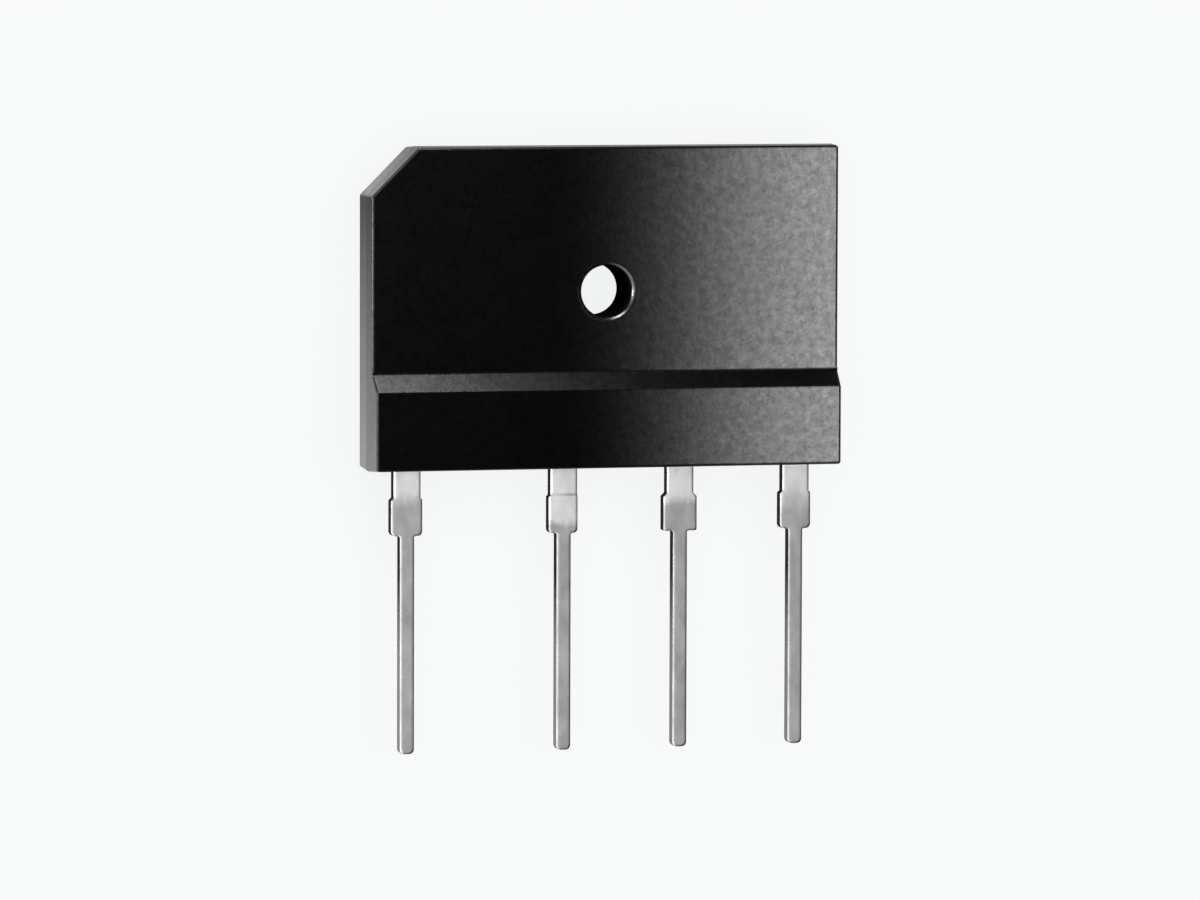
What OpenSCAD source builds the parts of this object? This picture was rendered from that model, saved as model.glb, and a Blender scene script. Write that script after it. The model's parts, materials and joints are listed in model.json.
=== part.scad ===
// Single in-line bridge rectifier: a flat epoxy moulding with a screw hole and a row
// of four flat leads. It lies on its back: X runs along the lead row, +Y points away
// from the leads and +Z out of the front face. The origin is the centre of the screw
// hole in the back face.

/* [Moulded body] */
// Width along the lead row
body_w = 30; // [29:0.1:32]
// Height from the lead edge to the top edge
body_h = 20; // [19.5:0.1:22]
// Thickness of the upper plate
plate_t = 3.6; // [3.4:0.05:4]
// Thickness of the step along the lead edge
step_t = 4.6; // [4.4:0.05:5]
// Height of the full-thickness step above the lead edge
step_h = 5; // [4.8:0.1:5.5]
// Leg of the 45 degree corner cut that marks the plus lead
corner_cut = 3; // [2:0.1:4]
// Radius along all outer edges
edge_r = 0.18; // [0.1:0.02:0.3]
// Fillet between the plate's front face and the slope up to the step
crease_r = 0.4; // [0.2:0.05:0.6]
// Mould draft of the side walls, in degrees from upright
draft = 3; // [1:0.5:5]

/* [Screw hole] */
// Diameter of the screw hole
hole_d = 3.2; // [3.1:0.05:3.4]
// Height of the hole's centre above the lead edge
hole_h = 11; // [10.8:0.05:11.2]
// Radius round the rim of the hole on the front face
rim_r = 0.3; // [0.1:0.05:0.4]

/* [Leads] */
// Distance from the plus lead to the next one
pitch_plus = 10; // [9.8:0.05:10.2]
// Distance between the other leads
pitch = 7.5; // [7.3:0.05:7.7]
// Length below the body
lead_len = 17.5; // [15:0.1:20]
// Thickness of the lead frame's sheet
lead_t = 0.7; // [0.6:0.02:0.8]
// Height of the leads' front face above the back of the body
lead_face_z = 2.7; // [2.5:0.05:2.9]
// Width of the neck next to the body
neck_w = 1.7; // [1.66:0.02:1.8]
// Length of the neck
neck_len = 1.65; // [1.4:0.05:1.9]
// Stub of the sheared tie bar on the left of each lead, from the plus lead on
stub_left = [0.17, 0.11, 0.22, 0.15]; // [0.03:0.01:0.25]
// Stub of the sheared tie bar on the right of each lead
stub_right = [0.11, 0.03, 0.22, 0.11]; // [0.03:0.01:0.25]
// Distance from the body to the lower end of the shoulder that the stubs widen
shoulder_len = 4; // [3.8:0.05:4.2]
// Width of the thin stem
stem_w = 0.9; // [0.8:0.02:0.96]
// Radius of the lower corners of each lead's shoulder
shoulder_r = [0.3, 0.26, 0.12, 0.3]; // [0.1:0.01:0.3]
// Fillet between the shoulder and the stem
stem_fillet = 0.12; // [0.06:0.01:0.15]
// Radius of the corners at the tip
tip_r = 0.3; // [0.1:0.02:0.35]

/* [Lead frame inside] */
// Height of the pads' underside above the back of the body
pad_z = 0.9; // [0.7:0.05:1]
// Least epoxy between the pads and the outer walls
frame_wall = 1.3; // [1.1:0.05:1.4]
// Epoxy between the screw hole and the nearest pad
hole_wall = 1.5; // [1.2:0.05:1.7]
// Gap between neighbouring pads
pad_gap = 1; // [0.7:0.05:1.2]
// Width of each lead just inside the body
root_w = 2.4; // [2.3:0.02:2.5]
// Depth inside the body at which each lead widens to its root
root_inset = 0.4; // [0.3:0.02:0.5]
// Straight length of each lead inside the body, before it bends down to its pad
root_len = 1.3; // [1.1:0.05:1.4]
// Diameter of the hole in each root that the epoxy locks into
lock_d = 0.9; // [0.6:0.05:1.1]

/* [Dies and jumpers] */
// Side of a diode die
die_w = 3; // [2.6:0.05:3.2]
// Thickness of a diode die
die_t = 0.28; // [0.2:0.02:0.34]
// Height of the raised contact on a die, part of its thickness
mesa_t = 0.08; // [0.04:0.01:0.12]
// Width of the passivated border round the raised contact
mesa_border = 0.25; // [0.15:0.01:0.35]
// Distance of the die columns from the middle of the body
column_x = 6.2; // [5.9:0.05:6.5]
// Bare pad below the lower dies
pad_margin = 0.4; // [0.3:0.02:0.5]
// Thickness of a solder joint
solder_t = 0.05; // [0.03:0.01:0.08]
// Width of the copper jumpers
jumper_w = 2; // [1.6:0.05:2.2]
// Thickness of the copper jumpers
jumper_t = 0.3; // [0.2:0.02:0.34]
// Rise of a clip's bridge over its seat on the die
clip_rise = 0.4; // [0.3:0.02:0.45]
// Length of a clip's foot on the pad
foot_len = 1.2; // [1:0.05:1.3]

/* [Hidden] */
$fn = 48;
cut = 0.5; // overshoot of a cutting solid

// Body
bottom_y = -hole_h;
top_y = body_h - hole_h;
side_x = body_w / 2;
slope_top_y = bottom_y + step_h;
parting_z = lead_face_z - lead_t / 2;
slope = 45; // of the step, and of every bend in the sheet metal
slope_half = slope / 2;
ball_fn = 16;
ball_steps = 4;

// Leads, from the plus lead to the minus lead, centred on the body
row_w = pitch_plus + 2 * pitch;
lead_xs = [-row_w / 2, pitch_plus - row_w / 2, row_w / 2 - pitch, row_w / 2];
lead_z = lead_face_z - lead_t;
shoulder_y = bottom_y - shoulder_len;
tip_y = bottom_y - lead_len;

// Lead frame
pad_top_z = pad_z + lead_t;
keep_out = hole_d / 2 + hole_wall;
bend_y = bottom_y + root_len;
flat_y = bend_y + lead_z - pad_z;
low_pad_y = flat_y + lead_t / 2 * tan(slope_half);
lock_y = bottom_y + root_len / 2 + lock_d / 4;

// Dies: two on the plus pad above the hole, two on the a.c. pads below it
upper_die_y = (keep_out + top_y - frame_wall) / 2;
lower_die_y = low_pad_y + pad_margin + die_w / 2;
die_z = pad_top_z + solder_t;
die_top_z = die_z + die_t;
contact_w = die_w - 2 * mesa_border;

// Jumpers: centre lines of their bent strips
seat_z = die_top_z + solder_t + jumper_t / 2;
foot_z = pad_top_z + solder_t + jumper_t / 2;
bridge_z = seat_z + clip_rise;
foot_top_y = -keep_out - pad_margin;
strap_z = lead_face_z + solder_t + jumper_t / 2;

// The body's outline at the parting plane, drawn in by inset. The cut corner is the one
// above the plus lead.
function outline(inset) =
    let (x = side_x - inset,
         low_y = bottom_y + inset,
         high_y = top_y - inset,
         leg = corner_cut - inset * (2 - sqrt(2)))
    [[-x, high_y - leg], [-x + leg, high_y], [x, high_y], [x, low_y], [-x, low_y]];

// How far the centre of an edge's rounding lies inside the outline, where that edge is
// rise above or below the parting plane
function edge_inset(rise) = (rise - edge_r) * tan(draft) + edge_r / cos(draft);

// A ball that rounds the corner between two drafted walls and the front or back face
module corner_ball() {
    turn = (90 - draft) / ball_steps;
    half = [for (i = [0:ball_steps]) edge_r * [cos(draft + i * turn), sin(draft + i * turn)]];
    rotate_extrude($fn = ball_fn)
        polygon(concat(
            [for (i = [ball_steps:-1:0]) [half[i][0], -half[i][1]]],
            half
        ));
}

// A round corner that is widest at the parting plane
module parting_corner() {
    rotate_extrude($fn = ball_fn)
        polygon([[0, -edge_r], [edge_r, 0], [0, edge_r]]);
}

// A moulded block of the body's outline: its walls draw in above and below the parting
// plane and its edges are rounded
module drafted_block(height) {
    hull() {
        for (p = outline(edge_inset(parting_z)))
            translate([p[0], p[1], edge_r]) corner_ball();
        for (p = outline(edge_r))
            translate([p[0], p[1], parting_z]) parting_corner();
        for (p = outline(edge_inset(height - parting_z)))
            translate([p[0], p[1], height - edge_r]) corner_ball();
    }
}

// The step along the lead edge, with a 45 degree slope up from the plate
module step() {
    rim_y = slope_top_y - edge_r * tan(slope_half);
    foot_y = slope_top_y + step_t - parting_z - edge_r;
    back = edge_inset(parting_z);
    front = edge_inset(step_t - parting_z);
    hull()
        for (side = [-1, 1]) {
            for (y = [bottom_y + back, foot_y])
                translate([side * (side_x - back), y, edge_r]) corner_ball();
            for (y = [bottom_y + edge_r, foot_y])
                translate([side * (side_x - edge_r), y, parting_z]) parting_corner();
            for (y = [bottom_y + front, rim_y])
                translate([side * (side_x - front), y, step_t - edge_r]) corner_ball();
        }
}

// The fillet in the crease between the plate and the slope
module crease_fillet() {
    crease_y = slope_top_y + step_t - plate_t;
    reach = crease_r * tan(slope_half);
    rise = reach * sin(slope);
    intersection() {
        drafted_block(plate_t + rise);
        along_x(body_w)
            difference() {
                polygon([
                    [crease_y + reach, plate_t], [crease_y + reach, parting_z],
                    [crease_y - rise, parting_z], [crease_y - rise, plate_t + rise]
                ]);
                translate([crease_y + reach, plate_t + crease_r]) circle(r = crease_r);
            }
    }
}

// The screw hole and the rounding of its front rim
module screw_hole() {
    translate([0, 0, -cut]) cylinder(d = hole_d, h = plate_t + 2 * cut);
    rim_ring();
}

module rim_ring() {
    rotate_extrude()
        translate([hole_d / 2, plate_t - rim_r])
            difference() {
                translate([-cut, 0]) square([rim_r + cut, rim_r + cut]);
                translate([rim_r, 0]) circle(r = rim_r);
                translate([rim_r, -rim_r]) square(2 * rim_r);
            }
}

module moulded_body() {
    color([0.10, 0.10, 0.11])
        difference() {
            union() {
                drafted_block(plate_t);
                step();
                crease_fillet();
            }
            screw_hole();
            inner_parts();
        }
}

// A strip of sheet seen edge on: a line of points thickened to both sides, mitred
function unit(v) = v / norm(v);
function left_of(a, b) = let (d = unit(b - a)) [-d[1], d[0]];
function mitre(line, i) =
    let (last = len(line) - 1,
         n_in = left_of(line[max(i - 1, 0)], line[max(i, 1)]),
         n_out = left_of(line[min(i, last - 1)], line[min(i + 1, last)]),
         m = unit(n_in + n_out))
    m / (m * n_in);

module strip(line, t) {
    last = len(line) - 1;
    polygon(concat(
        [for (i = [0:last]) line[i] + mitre(line, i) * t / 2],
        [for (i = [last:-1:0]) line[i] - mitre(line, i) * t / 2]
    ));
}

// Turns a profile drawn in Y and Z into a bar along X
module along_x(w) {
    rotate([90, 0, 90]) linear_extrude(w, center = true) children();
}

// Turns a profile drawn in X and Z into a bar along Y
module along_y(w) {
    rotate([90, 0, 0]) linear_extrude(w, center = true) children();
}

// One side of a lead's outline, from the root inside the body to the tip
function lead_side(stub, root_end_y) =
    let (root_y = bottom_y + root_inset,
         shoulder_x = neck_w / 2 + stub,
         neck_y = bottom_y - neck_len,
         fillet_x = stem_w / 2 + stem_fillet)
    [
        [root_w / 2, root_end_y], [root_w / 2, root_y],
        [neck_w / 2, root_y], [neck_w / 2, neck_y],
        [shoulder_x, neck_y - stub], [shoulder_x, shoulder_y],
        [fillet_x, shoulder_y], [stem_w / 2, shoulder_y - stem_fillet],
        [stem_w / 2, tip_y]
    ];

// Outline of a lead, counted from the plus lead
module lead_outline(lead, root_end_y) {
    stubs = [stub_right[lead], stub_left[lead]];
    right = lead_side(stubs[0], root_end_y);
    left = lead_side(stubs[1], root_end_y);
    translate([lead_xs[lead], 0])
        difference() {
            polygon(concat(right, [for (i = [len(left) - 1:-1:0]) [-left[i][0], left[i][1]]]));
            translate([0, lock_y]) circle(d = lock_d);
            for (side = [0, 1])
                mirror([side, 0]) {
                    translate([neck_w / 2 + stubs[side], shoulder_y])
                        outside_round(shoulder_r[lead]);
                    translate([stem_w / 2, tip_y]) outside_round(tip_r);
                    translate([stem_w / 2 + stem_fillet, shoulder_y - stem_fillet])
                        circle(r = stem_fillet);
                }
        }
}

// What rounding takes off a lower right corner that lies at the origin
module outside_round(r) {
    translate([-r, r])
        difference() {
            translate([0, -r - cut]) square(r + cut);
            circle(r = r);
        }
}

// Side view of a lead that bends down to the pads' plane inside the body
module bent_profile(end_y) {
    run_z = lead_z + lead_t / 2;
    flat_z = pad_z + lead_t / 2;
    strip([[tip_y, run_z], [bend_y, run_z], [flat_y, flat_z], [end_y, flat_z]], lead_t);
}

module lead_plus() {
    end_y = top_y - frame_wall;
    color([0.72, 0.72, 0.70])
        intersection() {
            along_x(body_w) bent_profile(end_y);
            union() {
                linear_extrude(step_t) lead_outline(0, (keep_out + end_y) / 2);
                linear_extrude(step_t)
                    intersection() {
                        translate([-side_x, keep_out]) square([body_w, end_y - keep_out]);
                        polygon(outline(frame_wall));
                    }
            }
        }
}

// An a.c. lead with its pad, whose sides are low_x and high_x
module lead_ac(lead, low_x, high_x) {
    color([0.72, 0.72, 0.70])
        intersection() {
            along_x(body_w) bent_profile(-keep_out);
            union() {
                linear_extrude(step_t) lead_outline(lead, low_pad_y + pad_margin);
                translate([low_x, low_pad_y, 0])
                    cube([high_x - low_x, -keep_out - low_pad_y, step_t]);
            }
        }
}

module lead_ac_left() {
    lead_ac(1, lead_xs[0] + root_w / 2 + pad_gap, -pad_gap / 2);
}

module lead_ac_right() {
    lead_ac(2, pad_gap / 2, lead_xs[3] - root_w / 2 - pad_gap);
}

// The minus lead stays in the leads' plane and ends under the strap
module lead_minus() {
    color([0.72, 0.72, 0.70])
        translate([0, 0, lead_z])
            linear_extrude(lead_t)
                lead_outline(3, lower_die_y + jumper_w / 2 + pad_margin);
}

// A square die with a raised contact inside its passivated border
module die(x, y) {
    color([0.35, 0.37, 0.42])
        translate([x, y, die_z]) {
            plug(die_w, die_w, die_t - mesa_t);
            plug(contact_w, contact_w, die_t);
        }
}

// A block standing on the XY plane, centred on the origin
module plug(w, d, h) {
    translate([-w / 2, -d / 2]) cube([w, d, h]);
}

module die_plus_left() die(-column_x, upper_die_y);
module die_plus_right() die(column_x, upper_die_y);
module die_ac_left() die(-column_x, lower_die_y);
module die_ac_right() die(column_x, lower_die_y);

// A solder joint under something w by d, with its underside at z
module solder(x, y, z, w, d) {
    color([0.62, 0.63, 0.65])
        translate([x, y, z]) plug(w, d, solder_t);
}

module solder_under_die(x, y) solder(x, y, pad_top_z, die_w, die_w);
module solder_over_die(x, y) {
    w = min(contact_w, jumper_w);
    solder(x, y, die_top_z, w, w);
}
module solder_under_die_plus_left() solder_under_die(-column_x, upper_die_y);
module solder_under_die_plus_right() solder_under_die(column_x, upper_die_y);
module solder_under_die_ac_left() solder_under_die(-column_x, lower_die_y);
module solder_under_die_ac_right() solder_under_die(column_x, lower_die_y);
module solder_over_die_plus_left() solder_over_die(-column_x, upper_die_y);
module solder_over_die_plus_right() solder_over_die(column_x, upper_die_y);
module solder_over_die_ac_left() solder_over_die(-column_x, lower_die_y);
module solder_over_die_ac_right() solder_over_die(column_x, lower_die_y);

module solder_foot(x) solder(x, foot_top_y - foot_len / 2, pad_top_z, jumper_w, foot_len);
module solder_foot_left() solder_foot(-column_x);
module solder_foot_right() solder_foot(column_x);
module solder_strap_minus() solder(lead_xs[3], lower_die_y, lead_face_z, jumper_w, jumper_w);

// A clip from an upper die over the gap beside the hole to the a.c. pad below
module clip(x) {
    seat_end_y = upper_die_y - contact_w / 2;
    color([0.80, 0.50, 0.33])
        translate([x, 0])
            along_x(jumper_w)
                strip([
                    [upper_die_y + contact_w / 2, seat_z],
                    [seat_end_y, seat_z],
                    [seat_end_y - clip_rise, bridge_z],
                    [foot_top_y + bridge_z - foot_z, bridge_z],
                    [foot_top_y, foot_z],
                    [foot_top_y - foot_len, foot_z]
                ], jumper_t);
}

module clip_left() clip(-column_x);
module clip_right() clip(column_x);

// The strap over both lower dies to the minus lead, arched between its seats
module strap_minus() {
    half = contact_w / 2;
    rise = strap_z - seat_z;
    color([0.80, 0.50, 0.33])
        translate([0, lower_die_y])
            along_y(jumper_w)
                strip([
                    [-column_x - half, seat_z],
                    [-column_x + half, seat_z],
                    [-column_x + half + rise, strap_z],
                    [column_x - half - rise, strap_z],
                    [column_x - half, seat_z],
                    [column_x + half, seat_z],
                    [column_x + half + rise, strap_z],
                    [lead_xs[3] + jumper_w / 2, strap_z]
                ], jumper_t);
}

// Everything that the epoxy is moulded round
module inner_parts() {
    lead_plus();
    lead_ac_left();
    lead_ac_right();
    lead_minus();
    clip_left();
    clip_right();
    strap_minus();
    solder_foot_left();
    solder_foot_right();
    solder_strap_minus();
    for (x = [-column_x, column_x], y = [upper_die_y, lower_die_y]) {
        die(x, y);
        solder_under_die(x, y);
        solder_over_die(x, y);
    }
}

moulded_body();
lead_plus();
lead_ac_left();
lead_ac_right();
lead_minus();
die_plus_left();
die_plus_right();
die_ac_left();
die_ac_right();
clip_left();
clip_right();
strap_minus();
solder_under_die_plus_left();
solder_under_die_plus_right();
solder_under_die_ac_left();
solder_under_die_ac_right();
solder_over_die_plus_left();
solder_over_die_plus_right();
solder_over_die_ac_left();
solder_over_die_ac_right();
solder_foot_left();
solder_foot_right();
solder_strap_minus();
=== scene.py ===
"""Looks for the single in-line bridge rectifier: finishes, floor, light and camera."""

import json
import math

import bpy
from mathutils import Matrix, Vector


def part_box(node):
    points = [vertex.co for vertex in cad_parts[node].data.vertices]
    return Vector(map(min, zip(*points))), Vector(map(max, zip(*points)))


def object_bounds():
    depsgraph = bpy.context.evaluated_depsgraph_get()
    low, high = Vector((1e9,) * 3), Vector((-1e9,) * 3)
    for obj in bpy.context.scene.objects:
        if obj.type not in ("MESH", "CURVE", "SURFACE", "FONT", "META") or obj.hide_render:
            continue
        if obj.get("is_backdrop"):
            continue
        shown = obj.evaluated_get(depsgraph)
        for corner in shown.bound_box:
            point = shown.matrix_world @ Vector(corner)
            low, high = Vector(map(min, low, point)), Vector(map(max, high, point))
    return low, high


MM = 0.001

# Camera, seen from in front of the part's face with the leads pointing down
VIEW_FROM_LEFT = math.radians(15.6)
VIEW_FROM_ABOVE = math.radians(4.2)
VIEW_ROLL = math.radians(0.17)
CAMERA_DISTANCE = 0.46
CAMERA_REACH = (0.01, 10.0)
LENS = 222.5
AIM_LEFT = 0.07 * MM
AIM_BELOW = 0.17 * MM

# The part's own small forms, which the finishes and the floor follow
LEAD_EDGE = 0.30 * MM
HOLE_RIM = 0.30 * MM
CORNER_CUT = 3.0 * MM

# How upright a surface's normal is where walls end and faces start: on the body, and on
# the leads, whose walls are sheared and whose faces are rolled
BODY_FACES = (0.30, 0.60)
LEAD_FACES = (0.15, 0.35)

# How far below the body each lead's bright neck turns dull, and over what length
DULL_LEADS = {
    "lead_plus": (1.2 * MM, 1.0 * MM),
    "lead_ac_left": (3.2 * MM, 0.4 * MM),
    "lead_ac_right": (1.8 * MM, 0.6 * MM),
    "lead_minus": (1.6 * MM, 1.4 * MM),
}
# How far below the body a lead has a score mark across the foot of its neck
SCORE_MARKS = {"lead_ac_left": 1.62 * MM}
# How far below the body the painted shade on the leads' sheared sides starts and ends lifting
SIDE_SHADE_LIFT = (6.5 * MM, 11.0 * MM)

# Pale studio, where a strength of 1 is white
BACKGROUND = (0.982, 0.996, 1.0)
AMBIENT = 0.3
FLOOR_SIZE = 6.0
FLOOR_COLOUR = (0.90, 0.90, 0.90)
# Share of the floor's own glow in what the camera sees of it; lamps and shadow are the rest
FLOOR_GLOW = 0.86
# The floor's glow in mirror rays, painted to put reflections on the body: its least beside
# the body, and what is added to that at the upper end of the cut corner
LEAST_GLOW = 0.22
CUT_GLOW = 0.35
# Where the room is bright in mirror rays, and how nearly a ray has to point that way
BRIGHT_SIDE = (-0.85, -0.50, 0.15)
BRIGHT_EDGE = (0.25, 0.80)

# What most of a noise texture's values lie between
NOISE_RANGE = (0.3, 0.7)


def hole_radius(frame):
    """Radius of the screw hole, as the record's mount states it."""
    mounts = frame["record"]["mounts"]
    hole = next(mount for mount in mounts if mount["name"] == "mounting_hole")
    return hole["dims"]["r_mm"] * MM


def per_mm(x, y=None, z=None):
    """Texture repeats per millimetre along each axis, as a scale for metres."""
    return tuple(v / MM for v in (x, x if y is None else y, x if z is None else z))


# ---------------------------------------------------------------- node trees


class Nodes:
    """A node tree, with short ways to add and join nodes. A value is a fixed one or the
    output of another node. A Mix node's inputs are taken by number, because those for
    numbers, vectors and colours share their names."""

    def __init__(self, tree):
        self.tree = tree

    def add(self, kind, **settings):
        """Adds a node and gives it its settings."""
        node = self.tree.nodes.new(kind)
        for key, value in settings.items():
            setattr(node, key, value)
        return node

    def join(self, value, target):
        """Gives a value to a node's input."""
        if isinstance(value, bpy.types.NodeSocket):
            self.tree.links.new(value, target)
        elif target.type == "RGBA":
            target.default_value = (*value, 1.0)
        else:
            target.default_value = value

    def spread(self, value, low, high, between=NOISE_RANGE, **settings):
        """Maps what lies between two numbers to low and high, and stops at both."""
        node = self.add("ShaderNodeMapRange", **settings)
        node.inputs["From Min"].default_value = between[0]
        node.inputs["From Max"].default_value = between[1]
        node.inputs["To Min"].default_value = low
        node.inputs["To Max"].default_value = high
        self.join(value, node.inputs["Value"])
        return node.outputs["Result"]

    def calculate(self, operation, first, second=None):
        node = self.add("ShaderNodeMath", operation=operation)
        self.join(first, node.inputs[0])
        if second is not None:
            self.join(second, node.inputs[1])
        return node.outputs[0]

    def mix(self, share, first, second):
        """Goes from the first number to the second as share goes from 0 to 1."""
        node = self.add("ShaderNodeMix", data_type="FLOAT")
        for value, socket in ((share, 0), (first, 2), (second, 3)):
            self.join(value, node.inputs[socket])
        return node.outputs[0]

    def blend(self, share, first, second):
        """Goes from the first colour to the second as share goes from 0 to 1."""
        node = self.add("ShaderNodeMix", data_type="RGBA")
        for value, socket in ((share, 0), (first, 6), (second, 7)):
            self.join(value, node.inputs[socket])
        return node.outputs[2]


class Finish(Nodes):
    """A material, with textures laid out in the object's own coordinates."""

    def __init__(self, name):
        self.material = bpy.data.materials.new(name)
        self.material.use_nodes = True
        super().__init__(self.material.node_tree)
        self.shader = self.tree.nodes["Principled BSDF"]
        self.place = self.add("ShaderNodeTexCoord").outputs["Object"]

    def shade(self, **inputs):
        """Sets the shader's inputs, whose names are given with low lines for spaces."""
        for name, value in inputs.items():
            self.join(value, self.shader.inputs[name.replace("_", " ")])
        return self.material

    def stretched(self, scale):
        """The object's own coordinates in metres, scaled to texture units."""
        node = self.add("ShaderNodeMapping")
        node.inputs["Scale"].default_value = scale
        self.join(self.place, node.inputs["Vector"])
        return node.outputs["Vector"]

    def noise(self, scale, detail=3.0, roughness=0.55):
        node = self.add("ShaderNodeTexNoise")
        node.inputs["Scale"].default_value = 1.0
        node.inputs["Detail"].default_value = detail
        node.inputs["Roughness"].default_value = roughness
        self.join(self.stretched(scale), node.inputs["Vector"])
        return node.outputs["Fac"]

    def spots(self, scale):
        node = self.add("ShaderNodeTexVoronoi")
        node.inputs["Scale"].default_value = 1.0
        self.join(self.stretched(scale), node.inputs["Vector"])
        return node.outputs["Distance"]

    def along(self, axis):
        """How far a point lies along an axis of the frame."""
        node = self.add("ShaderNodeSeparateXYZ")
        self.join(self.place, node.inputs[0])
        return node.outputs[axis]

    def off_axis(self):
        """Distance from the frame's Z axis, which is the screw hole's axis."""
        node = self.add("ShaderNodeVectorMath", operation="LENGTH")
        self.join(self.stretched((1.0, 1.0, 0.0)), node.inputs[0])
        return node.outputs["Value"]

    def on_faces(self, between):
        """1 on the front and back faces and 0 on the walls between them."""
        node = self.add("ShaderNodeSeparateXYZ")
        self.join(self.add("ShaderNodeNewGeometry").outputs["Normal"], node.inputs[0])
        return self.spread(self.calculate("ABSOLUTE", node.outputs["Z"]), 0.0, 1.0, between)

    def rounded(self, radius):
        """Shading normal of the surface with its sharp edges rounded to radius."""
        node = self.add("ShaderNodeBevel", samples=8)
        node.inputs["Radius"].default_value = radius
        return node.outputs["Normal"]

    def bump(self, height, distance, strength, under=None):
        """Shading normal with bumps, over another normal if one is given."""
        node = self.add("ShaderNodeBump")
        node.inputs["Strength"].default_value = strength
        node.inputs["Distance"].default_value = distance
        self.join(height, node.inputs["Height"])
        if under is not None:
            self.join(under, node.inputs["Normal"])
        return node.outputs["Normal"]


# ---------------------------------------------------------------- materials


def epoxy(frame):
    """Black moulding compound: mottled, spark-eroded front, smoother streaked side walls,
    and a polished rim where the mould's core pin left the screw hole."""
    shades = ((0.001, 0.001, 0.0012), (0.002, 0.002, 0.0022))
    rim_fade = 0.08 * MM
    rim_end = hole_radius(frame) + HOLE_RIM
    look = Finish("epoxy_black")
    grain = look.noise(per_mm(5.0), detail=4.0, roughness=0.65)
    mottle = look.noise(per_mm(2.0), detail=5.0, roughness=0.75)
    pits = look.spots(per_mm(3.2))
    clouds = look.noise(per_mm(0.35), detail=2.0)
    streaks = look.noise(per_mm(2.5, 0.20, 2.5), detail=4.0, roughness=0.65)
    faces = look.on_faces(BODY_FACES)
    wall_gloss = look.mix(faces, 0.3, 0.0)
    rim_gloss = look.spread(look.off_axis(), 1.0, 0.0, between=(rim_end - rim_fade, rim_end))
    coarse = look.bump(pits, 0.006 * MM, 0.5)
    return look.shade(
        Base_Color=look.blend(look.spread(clouds, 0.0, 1.0), *shades),
        Roughness=look.spread(grain, 0.29, 0.37),
        Specular_IOR_Level=look.mix(faces, look.spread(streaks, 0.40, 1.0),
                                    look.spread(mottle, 0.32, 0.68)),
        Coat_Weight=look.calculate("MAXIMUM", rim_gloss, wall_gloss),
        Coat_IOR=2.2,
        Coat_Roughness=0.25,
        Normal=look.bump(grain, 0.008 * MM, 0.6, under=coarse))


def tin_plate(name, neck_top, dull_from, dull_over, score):
    """Tin over stamped strip: bright at the neck and duller below dull_from, with lines
    along the lead and, if score is a height, a mark across it there. The sheared sides are
    not metallic and carry painted shade: dark at the shoulder and lighter towards the tip."""
    bright_shades = ((0.60, 0.60, 0.595), (0.72, 0.72, 0.71))
    dull_shades = ((0.30, 0.30, 0.30), (0.42, 0.42, 0.415))
    # Painted shade: the sheared sides' colours, the darkest at the shoulder
    painted_side_shades = ((0.022, 0.022, 0.024), (0.17, 0.17, 0.175))
    mark_shade = (0.28, 0.28, 0.28)
    mark_edge = (0.03 * MM, 0.13 * MM)
    look = Finish(name)
    lines = look.noise(per_mm(9.0, 0.35, 9.0))
    clouds = look.noise(per_mm(0.9, 0.45, 0.9), roughness=0.6)
    grain = look.noise(per_mm(14.0), detail=2.0)
    cloudy = look.spread(clouds, 0.0, 1.0)
    height = look.along("Y")
    wander = look.calculate("ADD", height, look.spread(clouds, -0.25 * MM, 0.25 * MM))
    dull = look.spread(wander, 1.0, 0.0, between=(dull_from - dull_over, dull_from))
    plated = look.blend(dull, look.blend(cloudy, *bright_shades), look.blend(cloudy, *dull_shades))
    if score is not None:
        away = look.calculate("ABSOLUTE", look.calculate("SUBTRACT", height, score))
        mark = look.calculate("MULTIPLY", look.spread(away, 1.0, 0.0, between=mark_edge),
                              look.spread(clouds, 0.9, 0.3))
        plated = look.blend(mark, plated, mark_shade)
    # The shade painted on the sheared sides lightens towards the tip
    shade_lift_starts, shade_lift_ends = (neck_top - below for below in SIDE_SHADE_LIFT)
    side_shade_lifted = look.spread(wander, 1.0, 0.0, between=(shade_lift_ends, shade_lift_starts))
    # Painted shade: the colour of the sheared sides
    sheared = look.blend(side_shade_lifted, *painted_side_shades)
    rolled = look.on_faces(LEAD_FACES)
    lengthways = look.bump(lines, 0.006 * MM, 0.7, under=look.rounded(LEAD_EDGE))
    return look.shade(
        Base_Color=look.blend(rolled, sheared, plated),
        Metallic=rolled,
        Specular_IOR_Level=look.calculate("MULTIPLY", rolled, 0.5),
        Roughness=look.spread(clouds, 0.42, 0.32),
        Normal=look.bump(grain, 0.003 * MM, 0.6, under=lengthways))


def copper():
    """Rolled copper strip with a faint heat tint."""
    shades = ((0.60, 0.27, 0.16), (0.80, 0.44, 0.28))
    look = Finish("rolled_copper")
    lines = look.noise(per_mm(8.0, 0.5, 8.0))
    tint = look.noise(per_mm(0.6), detail=2.0)
    return look.shade(
        Base_Color=look.blend(look.spread(tint, 0.0, 1.0), *shades),
        Roughness=look.spread(lines, 0.30, 0.42),
        Metallic=1.0,
        Normal=look.bump(lines, 0.003 * MM, 0.5))


def silicon():
    """A diode chip: dark blue-grey, glassy, with a lapped grain."""
    shades = ((0.10, 0.11, 0.14), (0.18, 0.19, 0.23))
    look = Finish("silicon_chip")
    grain = look.noise(per_mm(20.0))
    tone = look.noise(per_mm(1.2), detail=2.0)
    return look.shade(
        Base_Color=look.blend(look.spread(tone, 0.0, 1.0), *shades),
        Roughness=look.spread(grain, 0.18, 0.32),
        Metallic=0.6,
        Normal=look.bump(grain, 0.001 * MM, 0.5))


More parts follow.
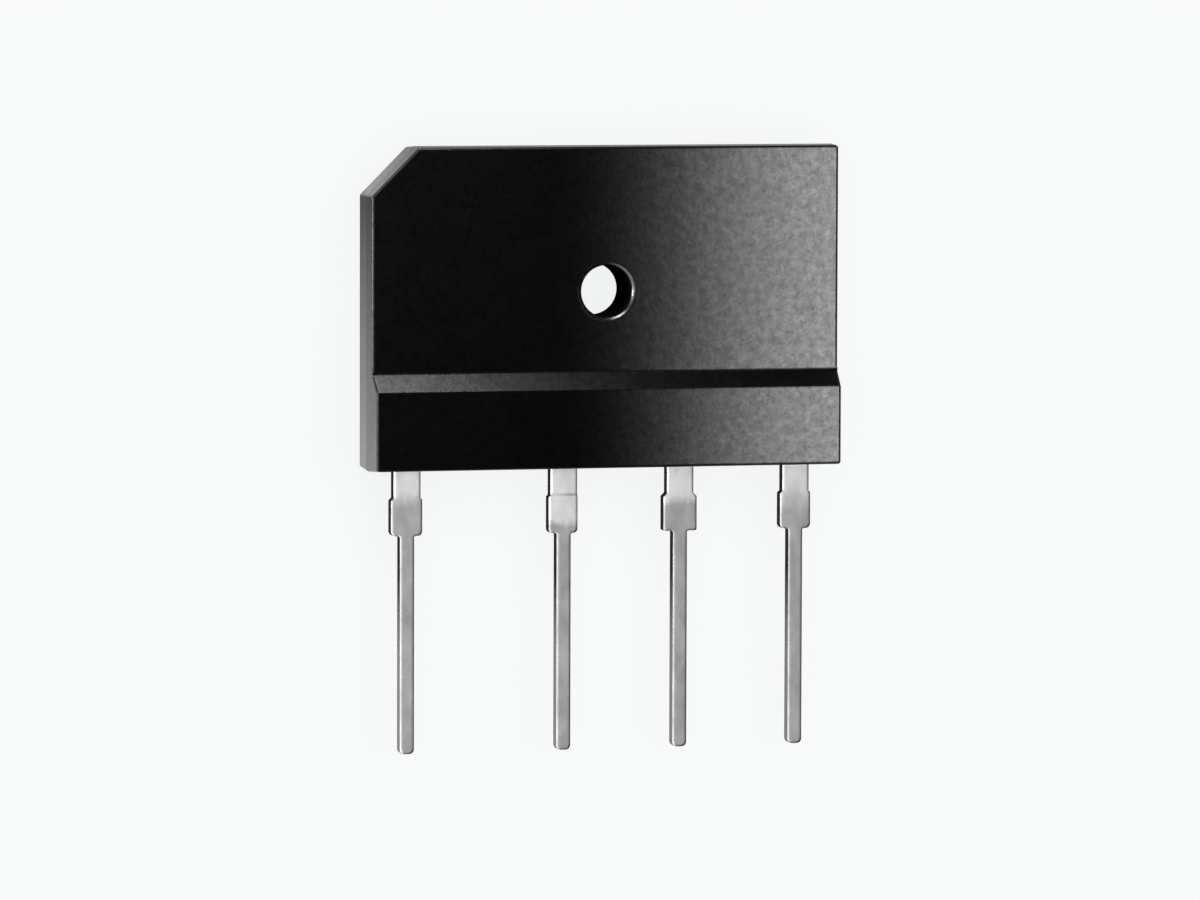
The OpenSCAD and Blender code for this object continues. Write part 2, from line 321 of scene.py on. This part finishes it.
def solder():
    """Reflowed solder: soft metal with grain boundaries."""
    shades = ((0.42, 0.43, 0.45), (0.60, 0.61, 0.62))
    cell = (0.0, 0.8)
    look = Finish("reflowed_solder")
    cells = look.spots(per_mm(4.0))
    return look.shade(
        Base_Color=look.blend(look.spread(cells, 0.0, 1.0, between=cell), *shades),
        Roughness=look.spread(cells, 0.28, 0.45, between=cell),
        Metallic=1.0,
        Normal=look.bump(cells, 0.004 * MM, 0.5))


def dress(frame):
    """Gives each lead its own tin, and every other CAD node the finish of its record slot."""
    made = {"epoxy": epoxy(frame), "copper": copper(), "silicon": silicon(), "solder": solder()}
    lead_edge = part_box("moulded_body")[0].y
    for sub in frame["record"]["subparts"]:
        node = sub["node"]
        piece = frame["nodes"][node]
        piece.data.materials.clear()
        if node in DULL_LEADS:
            below, over = DULL_LEADS[node]
            mark = lead_edge - SCORE_MARKS[node] if node in SCORE_MARKS else None
            tin = tin_plate("tin_" + node, lead_edge, lead_edge - below, over, mark)
            piece.data.materials.append(tin)
        else:
            piece.data.materials.append(made[sub["material_slot"]])


# ---------------------------------------------------------------- stage, light and camera


def painted_mirror_glow(look, radius):
    """The floor's glow in mirror rays, which paints reflections on the body: white beside the
    lead edge and dimmer up the walls, bright again beside the cut corner, dim past the top,
    and dark inside the screw hole as a painted shadow."""
    low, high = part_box("moulded_body")
    across, height = look.along("X"), look.along("Y")
    cut_foot = high.y - CORNER_CUT
    # Painted reflection: the body's walls mirror floor glow that is brightest at the lead edge
    walls = look.spread(height, 1.0, LEAST_GLOW, between=(low.y, cut_foot))
    # Painted reflection: extra floor glow for the cut corner to mirror
    along_cut = look.spread(across, 1.0 - LEAST_GLOW, CUT_GLOW, between=(low.x, low.x + CORNER_CUT))
    up_to_cut = look.spread(height, 0.0, 1.0, between=(cut_foot - 0.2 * MM, cut_foot + 0.5 * MM))
    past_cut = look.spread(height, 1.0, 0.0, between=(high.y + 1.5 * MM, high.y + 4.0 * MM))
    cut = look.calculate("MULTIPLY", along_cut, look.calculate("MULTIPLY", up_to_cut, past_cut))
    # Painted shadow: the floor glows dark in mirror rays under the screw hole
    hole = look.spread(look.off_axis(), 0.0, 1.0, between=(1.1 * radius, 1.5 * radius))
    return look.calculate("MULTIPLY", look.calculate("ADD", walls, cut), hole)


def make_floor(frame):
    """A pale floor that keeps the part's shadow and shows as near white."""
    bpy.ops.mesh.primitive_plane_add(size=FLOOR_SIZE, location=(0, 0, 0))
    floor = bpy.context.object
    floor.name = "floor"
    look = Finish("floor_pale")
    look.shade(Base_Color=FLOOR_COLOUR, Roughness=0.9, Specular_IOR_Level=0.0)
    path = look.add("ShaderNodeLightPath").outputs
    share = look.calculate("MULTIPLY", path["Is Camera Ray"], FLOOR_GLOW)
    for ray in ("Is Glossy Ray", "Is Transmission Ray"):
        share = look.calculate("MAXIMUM", share, path[ray])
    glow = look.add("ShaderNodeEmission")
    look.join(BACKGROUND, glow.inputs["Color"])
    # Painted reflections: the floor's glow in mirror rays changes by place to light the body
    painted_reflections = painted_mirror_glow(look, hole_radius(frame))
    look.join(look.mix(path["Is Camera Ray"], painted_reflections, 1.0), glow.inputs["Strength"])
    mixed = look.add("ShaderNodeMixShader")
    look.join(share, mixed.inputs["Fac"])
    look.join(look.shader.outputs["BSDF"], mixed.inputs[1])
    look.join(glow.outputs["Emission"], mixed.inputs[2])
    look.join(mixed.outputs["Shader"], look.tree.nodes["Material Output"].inputs["Surface"])
    floor.data.materials.append(look.material)
    floor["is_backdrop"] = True
    return floor


def make_world():
    """Pale backdrop for the camera, dim even light, and a bright side for reflections."""
    world = bpy.data.worlds.new("studio")
    bpy.context.scene.world = world
    world.use_nodes = True
    nodes = Nodes(world.node_tree)
    facing = nodes.add("ShaderNodeVectorMath", operation="DOT_PRODUCT")
    nodes.join(nodes.add("ShaderNodeTexCoord").outputs["Generated"], facing.inputs[0])
    nodes.join(BRIGHT_SIDE, facing.inputs[1])
    wall = nodes.spread(facing.outputs["Value"], 0.0, 1.0, between=BRIGHT_EDGE,
                        interpolation_type="SMOOTHSTEP")
    path = nodes.add("ShaderNodeLightPath").outputs
    unseen = nodes.mix(path["Is Glossy Ray"], AMBIENT, wall)
    back = nodes.tree.nodes["Background"]
    nodes.join(BACKGROUND, back.inputs["Color"])
    nodes.join(nodes.mix(path["Is Camera Ray"], unseen, 1.0), back.inputs["Strength"])


def softbox(name, place, towards, size, radiance, lights, grid=180.0):
    """A rectangular area light of even radiance that lights some pieces only. A grid under
    180 degrees keeps its light to the front."""
    data = bpy.data.lights.new(name, "AREA")
    data.shape = "RECTANGLE"
    data.size, data.size_y = size
    data.energy = radiance * math.pi * size[0] * size[1]
    data.spread = math.radians(grid)
    lamp = bpy.data.objects.new(name, data)
    bpy.context.scene.collection.objects.link(lamp)
    lamp.location = place
    lamp.rotation_mode = "QUATERNION"
    lamp.rotation_quaternion = Vector(towards).to_track_quat("-Z", "Y")
    lamp.visible_camera = False
    lit = bpy.data.collections.new(name + "_lights")
    for piece in lights:
        lit.objects.link(piece)
    lamp.light_linking.receiver_collection = lit


def make_lights(frame, floor):
    """A wide lamp over the leads and the floor, a card for the leads' faces, and four cards
    that the body alone reflects. The cards are placed from the body's box."""
    body = [frame["nodes"]["moulded_body"]]
    metal = [piece for name, piece in frame["nodes"].items() if name != "moulded_body"]
    low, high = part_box("moulded_body")
    mid = (low + high) / 2
    above = Vector((0.05, 0.10, 0.80))
    softbox("overhead", place=above, towards=mid - above, size=(1.6, 1.6), radiance=1.0,
            lights=metal + [floor])
    rim = Vector((low.x - 50 * MM, low.y - 40 * MM, 38 * MM))
    softbox("rim_card", place=rim, towards=Vector((mid.x, low.y - 8 * MM, 0)) - rim,
            size=(140 * MM, 70 * MM), radiance=3.0, lights=metal)
    softbox("right_card", place=(high.x + 27.5 * MM, mid.y - 2 * MM, 42 * MM), towards=(0, 0, -1),
            size=(50 * MM, 60 * MM), radiance=2.6, lights=body, grid=60.0)
    softbox("top_low_card", place=(low.x - 4 * MM, high.y + 31 * MM, 8 * MM), towards=(0, -1, 0),
            size=(38 * MM, 16 * MM), radiance=1.15, lights=body, grid=70.0)
    softbox("top_high_card", place=(low.x - 8 * MM, high.y + 31 * MM, 32 * MM),
            towards=(0, -1, -0.7), size=(44 * MM, 20 * MM), radiance=1.4, lights=body, grid=60.0)
    softbox("left_card", place=(low.x - 60 * MM, high.y - 9 * MM, 16 * MM), towards=(1, 0, -0.1),
            size=(14 * MM, 20 * MM), radiance=5.0, lights=body, grid=60.0)


def make_camera():
    """Looks down on the part as it lies, from in front and a little to its left."""
    low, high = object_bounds()
    aim = (low + high) / 2
    left, up = VIEW_FROM_LEFT, VIEW_FROM_ABOVE
    back = Vector((-math.sin(left) * math.cos(up), math.sin(up), math.cos(left) * math.cos(up)))
    side = Vector((0, 1, 0)).cross(back).normalized()
    top = back.cross(side)
    side, top = (side * math.cos(VIEW_ROLL) + top * math.sin(VIEW_ROLL),
                 top * math.cos(VIEW_ROLL) - side * math.sin(VIEW_ROLL))
    aim -= side * AIM_LEFT + top * AIM_BELOW
    data = bpy.data.cameras.new("camera")
    data.lens = LENS
    data.clip_start, data.clip_end = CAMERA_REACH
    camera = bpy.data.objects.new("camera", data)
    bpy.context.scene.collection.objects.link(camera)
    camera.matrix_world = Matrix.Translation(aim + back * CAMERA_DISTANCE) @ Matrix(
        (side, top, back)).transposed().to_4x4()
    bpy.context.scene.camera = camera


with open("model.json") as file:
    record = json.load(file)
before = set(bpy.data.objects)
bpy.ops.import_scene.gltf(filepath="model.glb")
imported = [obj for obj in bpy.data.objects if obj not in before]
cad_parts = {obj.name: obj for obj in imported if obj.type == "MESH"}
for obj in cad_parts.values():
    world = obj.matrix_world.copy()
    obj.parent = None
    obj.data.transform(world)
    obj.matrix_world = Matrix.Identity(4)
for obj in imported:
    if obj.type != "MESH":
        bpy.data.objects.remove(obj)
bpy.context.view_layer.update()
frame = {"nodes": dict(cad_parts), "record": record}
dress(frame)
floor = make_floor(frame)
make_world()
make_lights(frame, floor)
make_camera()
bpy.context.scene.view_settings.view_transform = "Standard"
